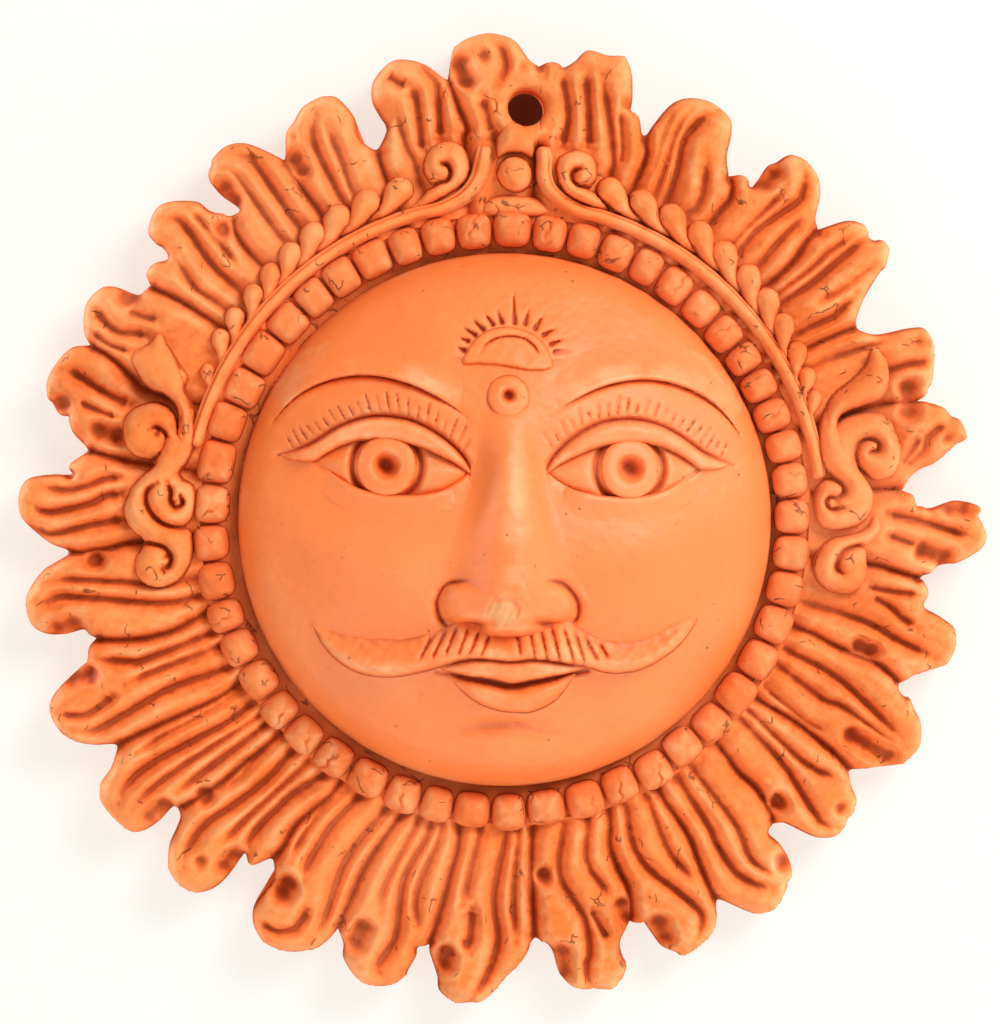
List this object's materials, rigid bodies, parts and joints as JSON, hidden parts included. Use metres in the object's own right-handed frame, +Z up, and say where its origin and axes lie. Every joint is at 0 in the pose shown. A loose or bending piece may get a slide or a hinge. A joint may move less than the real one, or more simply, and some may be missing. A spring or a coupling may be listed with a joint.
{
  "type": "terracotta sun plaque",
  "caption": "Round terracotta wall plaque of a moustached sun face on a hollow dome, ringed by beads, leafy vines with scrolls and curled flame tongues, with a nail hole at the top.",
  "frame": {"origin": "middle of the plaque in the plane of its back, which lies against the wall", "axes": "+Z up the plaque, +Y into the wall, so the face looks along -Y, and +X to the viewer's right"},
  "size_m": [0.2505, 0.0537, 0.2508],
  "materials": {
    "terracotta": "matt unglazed low-fired clay with dusty rubbed high spots"
  },
  "bodies": {
    "root": {"back_slab": "terracotta", "face_shell": "terracotta", "bead_strip": "terracotta", "beads": "terracotta", "vine_stem_left": "terracotta", "vine_stem_right": "terracotta", "vine_leaves_left": "terracotta", "vine_leaves_right": "terracotta", "top_scroll_left": "terracotta", "top_scroll_right": "terracotta", "side_leaf_left": "terracotta", "side_leaf_right": "terracotta", "side_scroll_upper_left": "terracotta", "side_scroll_upper_right": "terracotta", "side_scroll_lower_left": "terracotta", "side_scroll_lower_right": "terracotta", "eyeball_left": "terracotta", "eyeball_right": "terracotta", "iris_left": "terracotta", "iris_right": "terracotta", "eyelids_left": "terracotta", "eyelids_right": "terracotta", "brow_left": "terracotta", "brow_right": "terracotta", "crest_collar": "terracotta", "crest_bead": "terracotta", "crest_petal": "terracotta", "nose": "terracotta", "moustache": "terracotta", "upper_lip": "terracotta", "lower_lip": "terracotta", "forehead_sun": "terracotta", "flame_01": "terracotta", "flame_02": "terracotta", "flame_03": "terracotta", "flame_04": "terracotta", "flame_05": "terracotta", "flame_06": "terracotta", "flame_07": "terracotta", "flame_08": "terracotta", "flame_09": "terracotta", "flame_10": "terracotta", "flame_11": "terracotta", "flame_12": "terracotta", "flame_13": "terracotta", "flame_14": "terracotta", "flame_15": "terracotta", "flame_16": "terracotta", "flame_17": "terracotta", "flame_18": "terracotta", "flame_19": "terracotta", "flame_20": "terracotta", "flame_21": "terracotta", "flame_22": "terracotta", "flame_23": "terracotta", "flame_24": "terracotta", "flame_25": "terracotta", "flame_26": "terracotta", "flame_27": "terracotta", "flame_28": "terracotta"}
  },
  "joints": []
}
